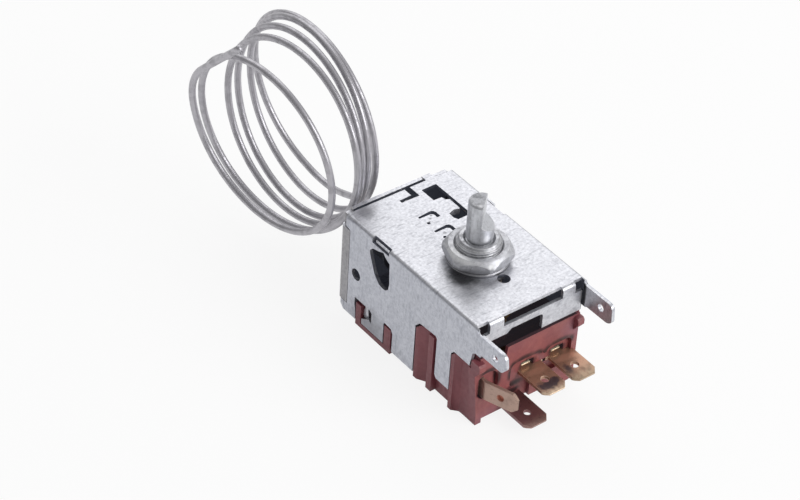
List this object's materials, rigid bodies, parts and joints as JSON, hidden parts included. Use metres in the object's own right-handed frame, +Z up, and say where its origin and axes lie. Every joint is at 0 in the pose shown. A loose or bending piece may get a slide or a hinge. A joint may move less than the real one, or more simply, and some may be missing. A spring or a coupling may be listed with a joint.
{
  "type": "capillary thermostat",
  "caption": "Capillary temperature switch: folded sheet-metal housing with a flatted spindle in a threaded bush, a moulded base with blade terminals and a coiled sensing tube.",
  "frame": {"origin": "the spindle axis on the outer face of the top plate, where the panel seats", "axes": "+Z up along the spindle, -Y towards the blade terminals, +Y towards the sensing tube"},
  "size_m": [0.0438, 0.1093, 0.0642],
  "materials": {
    "galvanised_sheet": "zinc-plated sheet with a fine grain",
    "inner_sheet": "plain sheet",
    "plated_steel": "turned and nickel-plated",
    "pin_steel": "drawn steel",
    "pale_plastic": "moulded acetal",
    "bronze": "turned or drawn bronze",
    "capillary_tube": "tinned drawn tube",
    "moulding": "brick-red moulded resin",
    "blade_dull": "tarnished stamped brass",
    "blade_dark": "dark stamped brass",
    "blade_brass": "stamped brass",
    "leaf_copper": "rolled spring copper",
    "contact_silver": "silver contact"
  },
  "bodies": {
    "housing": {"frame": "galvanised_sheet", "rear_plate": "galvanised_sheet", "bracket": "inner_sheet", "bush": "plated_steel", "nut": "plated_steel", "follower_pin": "pin_steel", "range_spring": "pin_steel", "lever_pin": "pin_steel", "bellows": "bronze", "element_cup": "pin_steel", "ferrule": "bronze", "capillary": "capillary_tube", "base": "moulding", "terminal_side": "blade_dull", "terminal_low": "blade_dark", "terminal_mid": "blade_brass", "terminal_right": "blade_brass", "contact_leaf": "leaf_copper", "leaf_rivet": "bronze", "fixed_contact": "contact_silver", "trim_screw": "bronze"},
    "spindle": {"spindle": "plated_steel", "cam": "pale_plastic"},
    "follower": {"follower": "inner_sheet"},
    "lever": {"main_lever": "inner_sheet", "push_pad": "bronze"},
    "pusher": {"pusher": "pale_plastic"},
    "contact": {"moving_contact": "contact_silver"}
  },
  "joints": [
    {"name": "spindle_turn", "type": "hinge", "parent": "housing", "child": "spindle", "pos_m": [0, 0, 0], "axis": [0, 0, 1], "range_deg": [0, 300]},
    {"name": "follower_swing", "type": "hinge", "parent": "housing", "child": "follower", "pos_m": [-0.0095, 0.0067, -0.006], "axis": [0, 0, 1], "range_deg": [0, 13.2], "deforming": ["range_spring"]},
    {"name": "lever_rock", "type": "hinge", "parent": "housing", "child": "lever", "pos_m": [0, 0.0166, -0.0192], "axis": [1, 0, 0], "range_deg": [0, 1.43], "stiffness_Nm_per_rad": 0.1, "springref_deg": -2.86, "deforming": ["bellows"]},
    {"name": "pusher_slide", "type": "slide", "parent": "housing", "child": "pusher", "axis": [0, 0, -1], "range_m": [0, 0.00055]},
    {"name": "contact_swing", "type": "hinge", "parent": "housing", "child": "contact", "pos_m": [0.00185, -0.0082, -0.02145], "axis": [-1, 0, 0], "range_deg": [0, 7], "deforming": ["contact_leaf"]}
  ],
  "couplings": [
    {"joint": "follower_swing", "follows": "spindle_turn", "ratio": 0.043333},
    {"joint": "pusher_slide", "follows": "lever_rock", "m_per_rad": 0.0212},
    {"joint": "contact_swing", "follows": "lever_rock", "ratio": 4.8}
  ]
}
